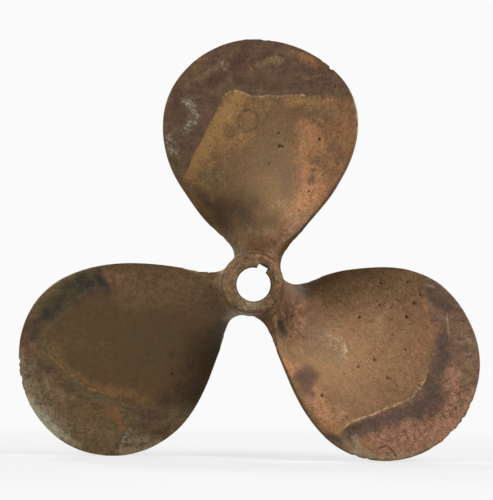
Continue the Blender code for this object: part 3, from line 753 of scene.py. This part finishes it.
def girth():
    """Once round a section: place along the chord, side from face to back, and reach past it."""
    share = np.linspace(0, 1, FACE_CELLS + 1)
    along = blend(share, (1 - np.cos(np.pi * share)) / 2, FACE_CELL_SPREAD)
    turn = np.linspace(-np.pi / 2, np.pi / 2, RIM_CELLS + 1)[1:-1]
    ones, zeros = np.ones(len(turn)), np.zeros(FACE_CELLS + 1)
    place = np.concatenate([along, ones, along[::-1], 0 * ones])
    side = np.concatenate([zeros - 1, np.sin(turn), zeros + 1, -np.sin(turn)])
    reach = np.concatenate([zeros, np.cos(turn), zeros, -np.cos(turn)])
    return place, side, reach


def blade_places(blade):
    """Every vertex of a blade as an array by station and by place round the section."""
    near, far = rims(blade)
    radii = [np.hypot(*rim.T)[:, None] for rim in (near, far)]
    angles = [-np.arctan2(*near.T)[:, None], np.arctan2(*far.T)[:, None]]
    place, side, reach = girth()
    radius = blend(radii[0], radii[1], place)
    angle = blend(angles[0], angles[1], place)
    chord = radii[1] * angles[1] - radii[0] * angles[0]
    rim = blend(ROOT_RIM, TIP_RIM, radius / RADIUS)
    rim = rim + ROOT_SWELL * fall(radius, AFT_RADIUS, ROOT_SWELL_END)
    full = blend(ROOT_THICKNESS, TIP_THICKNESS, (radius - AFT_RADIUS) / (RADIUS - AFT_RADIUS))
    chord_share = np.minimum(1, chord / FULL_CHORD) ** CHORD_POWER
    swell = (full - rim) * chord_share * 4 * place * (1 - place)
    fillet = fillet_at(radius)
    out = side * (rim / 2 + fillet) + np.where(side > 0, swell, 0)
    rounding = ROOT_ROUND * fall(radius, AFT_RADIUS, ROOT_ROUND_END)
    out = out + rounding * np.abs(2 * place - 1) ** ROOT_ROUND_POWER * (1 - side) / 2
    along = rim / 2 * (1 - 2 * place) + reach * (rim / 2 + FILLET_ROUND_RIM * fillet)
    pitch = pitch_at(radius)
    slope = np.arctan2(pitch, 2 * np.pi * radius)
    turn = angle + (along * np.cos(slope) - out * np.sin(slope)) / radius
    y = pitch * angle / (2 * np.pi) + along * np.sin(slope) + out * np.cos(slope)
    return np.stack([-radius * np.sin(turn), y, radius * np.cos(turn)], 2)


def make_blade(number):
    """A ball drawn out into a blade: its rings become sections and its top pole the tip."""
    blade = BLADES[number]
    grid = blade_places(blade)
    stations, around = grid.shape[:2]
    bpy.ops.mesh.primitive_uv_sphere_add(segments=around, ring_count=stations + 1, radius=1)
    thing = named(f"blade_{blade.name}")
    ball = corners(thing)
    down = np.arccos(np.clip(ball[:, 2], -1, 1)) / np.pi
    ring = np.rint((1 - down) * (stations + 1)).astype(int) - 1
    turn = np.arctan2(ball[:, 1], ball[:, 0]) / (2 * np.pi)
    spoke = np.rint(turn * around).astype(int) % around
    places = grid[np.clip(ring, 0, stations - 1), spoke]
    middle = grid[0].mean(0)
    outward = ROOT_RADIUS / math.hypot(middle[0], middle[2])
    places[ring < 0] = middle * (outward, 1, outward)
    places[ring >= stations] = (0, 0, blade.tip)
    move_corners(thing, places)
    thing.rotation_euler.y = 2 * math.pi * number / len(BLADES) - math.radians(blade.lead)
    bpy.ops.object.transform_apply(location=True, rotation=True, scale=True)
    bpy.ops.object.mode_set(mode="EDIT")
    bpy.ops.mesh.select_all(action="SELECT")
    bpy.ops.mesh.normals_make_consistent(inside=False)
    bpy.ops.object.mode_set(mode="OBJECT")
    return thing


def make_keyway():
    """The bar that cuts the keyway, laid along the taper of the bore."""
    middle = (HUB_AFT + HUB_FORWARD) / 2
    height = 2 * KEY_DEPTH
    out = bore_radius(middle) + KEY_DEPTH - height / 2
    place = (out * math.cos(KEY_ANGLE), middle, out * math.sin(KEY_ANGLE))
    bpy.ops.mesh.primitive_cube_add(size=1, location=place)
    bar = named("keyway_bar")
    bar.scale = (height, KEY_BAR_REACH * (HUB_FORWARD - HUB_AFT), KEY_WIDTH)
    bar.rotation_mode = "ZYX"
    bar.rotation_euler = (0, -KEY_ANGLE, -math.atan(BORE_TAPER))
    bpy.ops.object.transform_apply(location=True, rotation=True, scale=True)
    return bar


def fill_roots(casting):
    """Brings the near side of each blade's root up towards the hub's aft face."""
    places = corners(casting)
    lift = off_barrel(places)
    deep = places[:, 1] - HUB_AFT - CROWN * FILL_UNDER_CROWN
    amount = fall(deep, *FILL_DEPTH) * fall(lift, *FILL_END)
    amount *= fall(normals(casting)[:, 1], *FILL_TURN)
    amount *= smoothstep(lift, *FILL_START)
    places[:, 1] -= np.maximum(deep, 0) * amount
    move_corners(casting, places)


def ease_roots(casting):
    """Smooths the blades' roots into the hub, with little cut off the barrel itself."""
    for reach, repeat, everywhere in ROOT_EASING:
        places = corners(casting)
        facing = normals(casting)
        lift = off_barrel(places)
        off_bore = off_axis(places) > blend(BORE_FORWARD_RADIUS, AFT_RADIUS, EASED_FROM)
        pick(casting, "VERT", off_bore & (lift < reach))
        bpy.ops.mesh.vertices_smooth(factor=0.5, repeat=repeat)
        bpy.ops.object.mode_set(mode="OBJECT")
        moved = corners(casting) - places
        filled = smoothstep((moved * facing).sum(1), -EASED_FILLING, EASED_FILLING)
        kept = blend(smoothstep(lift, -EASED_BARREL, EASED_BARREL), 1, filled)
        kept *= blend(smoothstep(np.abs(facing[:, 1]), *EASED_TURN), 1, everywhere)
        move_corners(casting, places + moved * kept[:, None])


def distance_to(pixels, points):
    """How far each pixel lies from a line through the points."""
    best = np.full(len(pixels), np.inf)
    for start, end in zip(points, points[1:] or points):
        start, run = np.array(start, float), np.subtract(end, start)
        share = np.clip((pixels - start) @ run / max(run @ run, LEAST_RUN), 0, 1)
        best = np.minimum(best, np.hypot(*(pixels - start - share[:, None] * run).T))
    return best


def inside(pixels, outline):
    """Whether each pixel lies inside a closed outline."""
    crossed = np.zeros(len(pixels), dtype=bool)
    for (u0, v0), (u1, v1) in zip(outline, outline[1:] + outline[:1]):
        spans = (v0 > pixels[:, 1]) != (v1 > pixels[:, 1])
        reach = u0 + (pixels[:, 1] - v0) / ((v1 - v0) or 1) * (u1 - u0)
        crossed ^= spans & (pixels[:, 0] < reach)
    return crossed


def skin_depth(pixels, outlines):
    """How far each pixel lies inside the old skin, in pixels, and less than zero outside it."""
    depth = np.full(len(pixels), -FAR_FROM_SKIN)
    for outline in outlines:
        away = distance_to(pixels, outline + outline[:1])
        depth = np.maximum(depth, np.where(inside(pixels, outline), away, -away))
    return depth


def stroke(pixels, size, *points):
    """How much of a soft stroke through the points, or of a spot on one, each pixel has."""
    return np.exp(-(distance_to(pixels, points) / size) ** 2)


def strokes_of(stains):
    """Each stroke of a table of stains: its finish, strength, half width and points."""
    for finish, *strokes in stains:
        for strength, size, *points in strokes:
            yield finish, strength, size, points


def refine(casting):
    """Splits the faces on which the pits, the nicks and the old skin's edge come."""
    for reach in FINER_REACHES:
        faces = casting.data.polygons
        middles = read(faces, "center")
        pixels = photo_pixels(middles)
        aft = read(faces, "normal")[:, 1] < 0
        chosen = np.zeros(len(faces), dtype=bool)
        for *place, size, _ in PITS:
            chosen |= aft & (distance_to(pixels, (place,)) < size + reach)
        for *place, size, _ in NICKS:
            chosen |= distance_to(pixels, (place,)) < size + reach / 2
        for _, _, size, points in strokes_of(AFT_STAINS_AND_PAINTED_LIGHT):
            if size < FINE_STAIN:
                chosen |= aft & (distance_to(pixels, points) < size / 2 + reach / 2)
        if reach == max(FINER_REACHES):
            chosen |= aft & (np.abs(skin_depth(pixels, OLD_SKIN)) < reach)
        chosen &= off_axis(middles) > FORWARD_RADIUS + FINER_OFF_HUB
        chosen &= read(faces, "area", 1)[:, 0] > LEAST_SPLIT
        pick(casting, "FACE", chosen)
        bpy.ops.mesh.subdivide(number_cuts=1)
        bpy.ops.object.mode_set(mode="OBJECT")


def rough_noise(places, size, seed):
    """Smooth noise from -1 to 1 at each place, with lumps of the given size."""
    scaled = places / size + seed
    return np.array([noise.noise(place) for place in scaled])


def wear(casting):
    """Gives the clean casting its lumps, pits, nicks and the step at the old skin's edge."""
    places = corners(casting)
    facing = normals(casting)
    pixels = photo_pixels(places)
    out = smoothstep(off_axis(places) - FORWARD_RADIUS, *WORN_OFF_HUB)
    aft = smoothstep(-facing[:, 1], *WORN_TURN) * out
    depth = sum(height * rough_noise(places, size, seed) for size, seed, height in LUMPS)
    depth *= blend(HUB_LUMPS, 1, out)
    step = SKIN_STEP + LIP_STEP * lip_share(pixels)
    depth += step * aft * np.tanh(skin_depth(pixels, OLD_SKIN) / SKIN_STEP_WIDTH)
    for u, v, size, deep in PITS:
        depth -= aft * deep / HALF_MILLIMETRES * stroke(pixels, size * PIT_SPREAD, (u, v))
    outer = off_axis(places) > bore_radius(places[:, 1]) + BORE_MARGIN
    places = places + facing * (depth * outer)[:, None]
    for u, v, size, deep in NICKS:
        away = distance_to(pixels, ((u, v),)) / size
        rim = middle_of_blade(u, v) - places
        rim /= np.linalg.norm(rim, axis=1)[:, None]
        places += rim * (deep / MILLIMETRES * np.exp(-away ** 4))[:, None]
    move_corners(casting, places)


def middle_of_blade(u, v):
    """The middle of the blade that a pixel of the photograph lies on."""
    spacing = 2 * math.pi / len(BLADES)
    turn = spacing * round(math.atan2(u - AXIS_PIXEL[0], AXIS_PIXEL[1] - v) / spacing)
    return np.array((math.sin(turn) * BLADE_MIDDLE, 0, math.cos(turn) * BLADE_MIDDLE))


def lip_share(pixels):
    return sum(strength * stroke(pixels, LIP_WIDTH, *points) for strength, *points in LIPS)


def stain(casting):
    """Writes on each vertex how much of each finish it has, for the material to read."""
    places = corners(casting)
    pixels = photo_pixels(places)
    lift = off_barrel(places)
    aft = smoothstep(-normals(casting)[:, 1], -SIDE_TURN, SIDE_TURN)
    coats = {}
    for stains, side in ((AFT_STAINS_AND_PAINTED_LIGHT, aft), (FORWARD_STAINS, 1 - aft)):
        for finish, strength, size, points in strokes_of(stains):
            amount = side * strength * stroke(pixels, size, *points)
            coats[finish] = 1 - (1 - coats.get(finish, 0)) * (1 - amount)
    coats["old_skin"] = blend(skin_depth(pixels, FORWARD_SKIN), skin_depth(pixels, OLD_SKIN), aft)
    coats["lip"] = aft * lip_share(pixels)
    coats["pit"] = sum(aft * min(1, deep / DARK_PIT) * stroke(pixels, size * PIT_SPREAD, (u, v))
                       for u, v, size, deep in PITS)
    coats["hub"] = fall(lift, 0, HUB_ZONE)
    coats["root"] = fall(lift, HUB_ZONE, ROOT_ZONE)
    # How much painted shade the bore's wall and chamfer get
    coats["bore"] = fall(off_axis(places) - bore_radius(places[:, 1]), *BORE_SHADE_ZONE)
    for name, amount in coats.items():
        layer = casting.data.attributes.new(name, "FLOAT", "POINT")
        layer.data.foreach_set("value", amount.astype(np.float32))


def cast_propeller():
    casting = make_hub()
    for number in range(len(BLADES)):
        boolean(casting, make_blade(number), "UNION")
    fill_roots(casting)
    ease_roots(casting)
    refine(casting)
    wear(casting)
    boolean(casting, make_keyway(), "DIFFERENCE")
    casting.name = "propeller_casting"
    casting.data.name = "propeller_casting"
    move_corners(casting, np.clip(corners(casting), *map(np.array, CAD_BOX)))
    casting.data.shade_smooth()
    casting.data.set_sharp_from_angle(angle=SHARP_ANGLE)
    stain(casting)
    return casting


# Materials

class Wire:
    """One output of a node. Arithmetic on it adds Math nodes beside that one."""

    def __init__(self, finish, socket):
        self.finish = finish
        self.socket = socket

    def math(self, operation, *values):
        return self.finish.node("Math", {"operation": operation}, dict(enumerate(values)))

    def __add__(self, other):
        return self.math("ADD", self, other)

    def __sub__(self, other):
        return self.math("SUBTRACT", self, other)

    def __rsub__(self, other):
        return self.math("SUBTRACT", other, self)

    def __mul__(self, other):
        return self.math("MULTIPLY", self, other)

    def __abs__(self):
        return self.math("ABSOLUTE", self)

    __radd__ = __add__
    __rmul__ = __mul__

    def step(self, low, high):
        """Rises smoothly from 0 to 1 between two values."""
        settings = {"interpolation_type": "SMOOTHSTEP"}
        return self.finish.node("MapRange", settings, {0: self, 1: low, 2: high})


class Finish:
    """The nodes of a material or of the world, and the methods that add and feed them."""

    def __init__(self, owner):
        owner.use_nodes = True
        self.tree = owner.node_tree

    def node(self, kind, settings=None, values=None, output=0):
        made = self.tree.nodes.new("ShaderNode" + kind)
        for name, value in (settings or {}).items():
            setattr(made, name, value)
        self.feed(made, values or {})
        return Wire(self, made.outputs[output])

    def feed(self, node, values):
        for key, value in values.items():
            if isinstance(value, Wire):
                self.tree.links.new(value.socket, node.inputs[key])
            else:
                node.inputs[key].default_value = value

    def coat(self, name):
        return self.node("Attribute", {"attribute_name": name}, output=2)

    def place(self):
        return self.node("TexCoord", output=3)

    def noise(self, size, seed, detail, roughness, stretch=(1, 1, 1)):
        """Noise about 0, mostly within 0.5 of it, with features of the given size in metres."""
        place = self.vector("MULTIPLY", {0: self.place(), 1: stretch})
        values = {"Vector": place, "W": seed, "Scale": 1 / size, "Detail": detail,
                  "Roughness": roughness}
        plain = self.node("TexNoise", {"noise_dimensions": "4D"}, values)
        return plain.math("MULTIPLY_ADD", plain, NOISE_SPREAD, -NOISE_SPREAD / 2)

    def mix(self, under, over, amount):
        under, over = (value if isinstance(value, Wire) else (*value, 1) for value in (under, over))
        return self.node("Mix", {"data_type": "RGBA"}, {0: amount, 6: under, 7: over}, output=2)

    def vector(self, operation, values, output=0):
        return self.node("VectorMath", {"operation": operation}, values, output)

    def shaded(self, colour, amount):
        return self.vector("SCALE", {0: colour, 3: amount})


# The colours of the worn metal, the old skin, the pits, the painted shade in the bore and the bright
# lip, the tints that lie over them all in clouds, and the surface's specular level
BRONZE = (0.100, 0.062, 0.0285)
BRONZE_WARM = (0.130, 0.0695, 0.0355)
SKIN = (0.122, 0.087, 0.042)
SKIN_RED = (0.088, 0.050, 0.034)
SKIN_PINK = (0.122, 0.070, 0.045)
PIT_DARK = (0.014, 0.010, 0.008)
BORE_SHADE_COLOUR = (0.020, 0.015, 0.010)
LIP_BRIGHT = (0.27, 0.19, 0.10)
TINT_GREEN = (0.95, 1.03, 1.01)
TINT_RED = (1.08, 0.95, 0.96)
SPECULAR = 0.2

# The noises that break up the surface: how far all are spread, and the size of their features in
# metres, their seed, their detail and their roughness
NOISE_SPREAD = 2.4
CLOUD = (0.030, 1, 4, 0.6)
BLOTCH = (0.010, 2, 6, 0.6)
MOTTLE = (0.0032, 3, 4, 0.7)
GRAIN = (0.0010, 4, 2, 0.6)
TINTS = (0.006, 5, 5, 0.7)
STREAK = (0.0030, 6, 4, 0.7)
STREAK_STRETCH = (0.25, 1, 1)
CRACKS = (0.007, 8, 3, 0.6)
CRACK_WIDTH = (0.03, 0.17)

# The marks on it: the width of the hub's tool marks and the spacing of the specks, in metres, the
# specks' width and greatest number, as shares of their cells, and where a pit turns dark
TOOL_MARK = 0.0020
TOOL_MARK_DETAIL = 2
SPECK_SPACING = 0.0034
SPECK_WIDTH = (0.10, 0.26)
SPECK_NUMBER = 0.26
SPECK_NUMBER_SPREAD = 0.1
PIT_EDGE = (0.1, 0.8)

# How far blotches and streaks shift the colours of the old skin, and how far the streaks shade it.
# In pixels: how far mottle and blotches move its edge, the edge's half width, how far outside it
# the lip's middle lies and over which distances from there the lip fades. Last, how wide a range
# of the mottle breaks the lip up
SKIN_BLOTCH = 0.9
SKIN_STREAK = 0.5
STREAK_SHADE = 0.8
EDGE_MOTTLE = 1.2
EDGE_BLOTCH = 0.8
EDGE_WIDTH = 0.6
LIP_PLACE = 0.9
LIP_FADE = (0.2, 2.0)
LIP_GAPS = 0.3

# Sums, each of a number and of shares of the finishes and marks by name: how far mottle and grain
# darken or lighten the colour, what rings and cracks leave of it, and the surface's roughness,
# how metallic it is and its relief. Then that relief's strength and its depth in metres, and the
# marks that are darkened, with their colours and shares, the bore's darkening being painted shade
MOTTLE_SHADE = (0.48, {"speckled": 0.35, "hub": 0.5, "calm": -0.25})
GRAIN_SHADE = (0.5, {"speckled": 0.22, "calm": -0.25})
RING_SHADE = (1, {"rings": 1.1, "hub": 0.14})
CRACK_SHADE = (1, {"cracks": -0.38})
ROUGHNESS = (0.48, {"skin": 0.10, "verdigris": 0.2, "dust": 0.1, "mottle": 0.1, "root": 0.2})
METALLIC = (0.8, {"verdigris": -0.6})
RELIEF = (0, {"grain": 0.35, "mottle": 0.65, "rings": 0.7, "specks": -1, "cracks": -0.5})
RELIEF_STRENGTH = 0.25
RELIEF_DEPTH = 0.0004
DARK_MARKS = (("specks", PIT_DARK, 0.6), ("pits", PIT_DARK, 0.9), ("bore", BORE_SHADE_COLOUR, 0.85))

# How a finish turns from a stroke into a stain: its gain and what it or the pinkish skin loses,
# what the mottle adds, where it begins to show, and the seeds, detail and roughness of its flecks
COAT_GAIN = 1.1
COAT_LOSS = 0.05
PINK_LOSS = 0.15
COAT_MOTTLE = 0.4
COAT_SHOWS = (0.03, 0.4)
FLECK_SEED = 10
FLECK_DETAIL = 5
FLECK_ROUGHNESS = 0.72

# Each finish: its colour, how much noise breaks it up, the size of its flecks in metres, and
# whether it lies on the worn metal, on the old skin or on both. Later ones lie over earlier ones
COATS = (
    ("olive", (0.096, 0.064, 0.030), 0.3, 0.020, "worn"),
    ("dust", (0.124, 0.078, 0.043), 0.7, 0.010, "worn"),
    ("gold", (0.195, 0.113, 0.044), 0.7, 0.007, "worn"),
    ("tan", (0.155, 0.102, 0.054), 0.8, 0.007, "both"),
    ("copper", (0.195, 0.095, 0.043), 0.9, 0.0045, "both"),
    ("pink", (0.225, 0.117, 0.072), 1.0, 0.006, "both"),
    ("pale", (0.200, 0.148, 0.092), 1.2, 0.005, "both"),
    ("dusk", (0.068, 0.043, 0.033), 1.1, 0.006, "skin"),
    ("grey", (0.070, 0.046, 0.034), 0.8, 0.009, "both"),
    ("maroon", (0.072, 0.038, 0.027), 0.8, 0.008, "both"),
    ("umber", (0.050, 0.032, 0.017), 0.6, 0.010, "both"),
    ("soot", (0.036, 0.035, 0.027), 0.7, 0.007, "both"),
    ("verdigris", (0.250, 0.230, 0.155), 1.5, 0.0026, "both"),
)


def worn_metal(finish, blotch):
    """The olive metal of the worn patches, warmer in clouds."""
    warmth = (finish.noise(*CLOUD) + blotch + finish.coat("warm") + 0.5) * 0.5
    return finish.mix(BRONZE, BRONZE_WARM, warmth)


def old_skin(finish, blotch):
    """The dark skin that the casting came with, in reddish and pinkish parts, finely streaked."""
    streak = finish.noise(*STREAK, stretch=STREAK_STRETCH)
    vary = blotch * SKIN_BLOTCH + streak * SKIN_STREAK
    skin = finish.mix(SKIN, SKIN_RED, (finish.coat("red_skin") + vary).step(0, 1))
    pink = finish.coat("pink_skin") * COAT_GAIN + vary - PINK_LOSS
    return finish.shaded(finish.mix(skin, SKIN_PINK, pink.step(0, 1)), streak * STREAK_SHADE + 1)


def stained(finish, colour, is_skin, mottle):
    """The colour with every finish laid over it in turn, and where each of them lies."""
    lies = {"worn": 1 - is_skin, "skin": is_skin, "both": 1}
    masks = {}
    for number, (name, tone, broken, size, where) in enumerate(COATS):
        flecks = finish.noise(size, FLECK_SEED + number, FLECK_DETAIL, FLECK_ROUGHNESS)
        coat = finish.coat(name)
        amount = coat * COAT_GAIN - COAT_LOSS + flecks * broken + mottle * COAT_MOTTLE
        masks[name] = amount.step(0, 1) * coat.step(*COAT_SHOWS) * lies[where]
        colour = finish.mix(colour, tone, masks[name])
    return colour, masks


def tool_rings(finish):
    """Rings about the shaft on the hub's turned face, light and dark."""
    flat = finish.vector("MULTIPLY", {0: finish.place(), 1: (1, 0, 1)})
    radius = finish.vector("LENGTH", {0: flat}, output=1)
    values = {"W": radius, "Scale": 1 / TOOL_MARK, "Detail": TOOL_MARK_DETAIL}
    rings = finish.node("TexNoise", {"noise_dimensions": "1D"}, values)
    return (rings - 0.5) * finish.coat("hub")


def specks(finish):
    """Small dark dots, on a share of the cells that grows with how speckled the metal is."""
    cells = {"Vector": finish.place(), "Scale": 1 / SPECK_SPACING}
    dot = 1 - finish.node("TexVoronoi", None, cells).step(*SPECK_WIDTH)
    cell = finish.node("SeparateColor", None, {0: finish.node("TexVoronoi", None, cells, output=1)})
    return dot * (finish.coat("speckled") * SPECK_NUMBER - cell).step(0, SPECK_NUMBER_SPREAD)


def total(start, shares, marks):
    """A number and the shares of the marks that are added to it."""
    return sum((marks[name] * share for name, share in shares.items()), start)


def bronze_finish():
    """Old bronze: worn olive metal, darker skin round it, stains, verdigris, pits, grain and, in
    places, painted shade and highlights.
    """
    bronze = bpy.data.materials.new("weathered bronze")
    finish = Finish(bronze)
    blotch = finish.noise(*BLOTCH)
    mottle = finish.noise(*MOTTLE)
    grain = finish.noise(*GRAIN)
    edge = finish.coat("old_skin") + mottle * EDGE_MOTTLE + blotch * EDGE_BLOTCH
    is_skin = edge.step(-EDGE_WIDTH, EDGE_WIDTH)
    colour = finish.mix(worn_metal(finish, blotch), old_skin(finish, blotch), is_skin)
    colour, marks = stained(finish, colour, is_skin, mottle)
    lip = finish.coat("lip") * (1 - abs(edge + LIP_PLACE).step(*LIP_FADE))
    colour = finish.mix(colour, LIP_BRIGHT, lip * mottle.step(-LIP_GAPS, LIP_GAPS))
    tint = finish.mix(TINT_GREEN, TINT_RED, finish.noise(*TINTS) + 0.5)
    colour = finish.vector("MULTIPLY", {0: colour, 1: tint})
    cracks = 1 - abs(finish.noise(*CRACKS)).step(*CRACK_WIDTH)
    marks.update({name: finish.coat(name) for name in ("speckled", "hub", "root", "bore")})
    marks.update({"calm": finish.coat("olive"), "pits": finish.coat("pit").step(*PIT_EDGE),
                  "skin": is_skin, "mottle": mottle, "grain": grain, "rings": tool_rings(finish),
                  "specks": specks(finish), "cracks": cracks * finish.coat("crackle")})
    shade = mottle * total(*MOTTLE_SHADE, marks) + grain * total(*GRAIN_SHADE, marks) + 1
    for amount in (shade, total(*RING_SHADE, marks), total(*CRACK_SHADE, marks)):
        colour = finish.shaded(colour, amount)
    for name, tone, share in DARK_MARKS:
        colour = finish.mix(colour, tone, marks[name] * share)
    relief = {"Strength": RELIEF_STRENGTH, "Distance": RELIEF_DEPTH, "Height": total(*RELIEF, marks)}
    finish.feed(finish.tree.nodes["Principled BSDF"], {
        "Base Color": colour, "Roughness": total(*ROUGHNESS, marks),
        "Metallic": total(*METALLIC, marks), "Specular IOR Level": SPECULAR,
        "Normal": finish.node("Bump", None, relief)})
    return bronze


# Studio: white paper, its glow at the wheel and how far from there it grows to full, how much of
# the white ground's light falls on the wheel, and the softboxes with their names, how far round
# and how high they stand, in degrees, how wide they are, in metres, and their power in watts
WHITE = (0.956, 0.956, 0.956, 1)
PAPER = (0.60, 0.60, 0.60, 1)
PAPER_ROUGHNESS = 0.9
PAPER_SIZE = 16
GLOW = 0.65
FULL_GLOW = (0.35, 1.0)
GROUND_LIGHT = 0.12
SOFTBOX_DISTANCE = 2.0
SOFTBOXES = (
    ("left_softbox", -60, 25, 1.3, 31),
    ("right_softbox", 55, 35, 1.3, 37),
    ("front_softbox", 30, 45, 0.7, 5),
    ("rear_left_softbox", -145, 35, 0.9, 20),
    ("rear_right_softbox", 145, 35, 0.9, 11),
)


def add_floor(level):
    """White paper, which far from the wheel is as bright as the empty studio behind it."""
    bpy.ops.mesh.primitive_plane_add(size=PAPER_SIZE, location=(0, 0, level))
    floor = named("studio_floor")
    bpy.ops.object.transform_apply(location=True, rotation=True, scale=True)
    paper = bpy.data.materials.new("white paper")
    finish = Finish(paper)
    sheet = finish.tree.nodes["Principled BSDF"]
    finish.feed(sheet, {"Base Color": PAPER, "Roughness": PAPER_ROUGHNESS})
    far = finish.vector("LENGTH", {0: finish.place()}, output=1).step(*FULL_GLOW)
    shaders = {0: far * (1 - GLOW) + GLOW, 1: Wire(finish, sheet.outputs[0]),
               2: finish.node("Emission", None, {"Color": WHITE})}
    mixed = finish.node("MixShader", None, shaders)
    finish.feed(finish.tree.nodes["Material Output"], {"Surface": mixed})
    floor.data.materials.append(paper)


def add_ground():
    """A white ground that the camera sees in full and that lights the wheel only a little."""
    world = bpy.data.worlds.new("white studio")
    bpy.context.scene.world = world
    finish = Finish(world)
    light = finish.node("LightPath") * (1 - GROUND_LIGHT) + GROUND_LIGHT
    finish.feed(finish.tree.nodes["Background"], {"Color": WHITE, "Strength": light})


def add_softbox(name, azimuth, height, size, power):
    data = bpy.data.lights.new(name, "AREA")
    data.shape = "DISK"
    data.size = size
    data.energy = power
    light = bpy.data.objects.new(name, data)
    turn = math.radians(azimuth)
    rise = math.radians(height)
    direction = Vector((math.sin(turn) * math.cos(rise), -math.cos(turn) * math.cos(rise),
                        math.sin(rise)))
    light.location = direction * SOFTBOX_DISTANCE
    light.rotation_euler = direction.to_track_quat("Z", "Y").to_euler()
    bpy.context.scene.collection.objects.link(light)


bpy.context.scene.view_settings.view_transform = "Standard"
add_camera()
casting = cast_propeller()
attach(casting, "root")
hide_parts("propeller")
casting.data.materials.clear()
casting.data.materials.append(bronze_finish())
add_floor(float(CAD_BOX[0][2]))
add_ground()
for softbox in SOFTBOXES:
    add_softbox(*softbox)
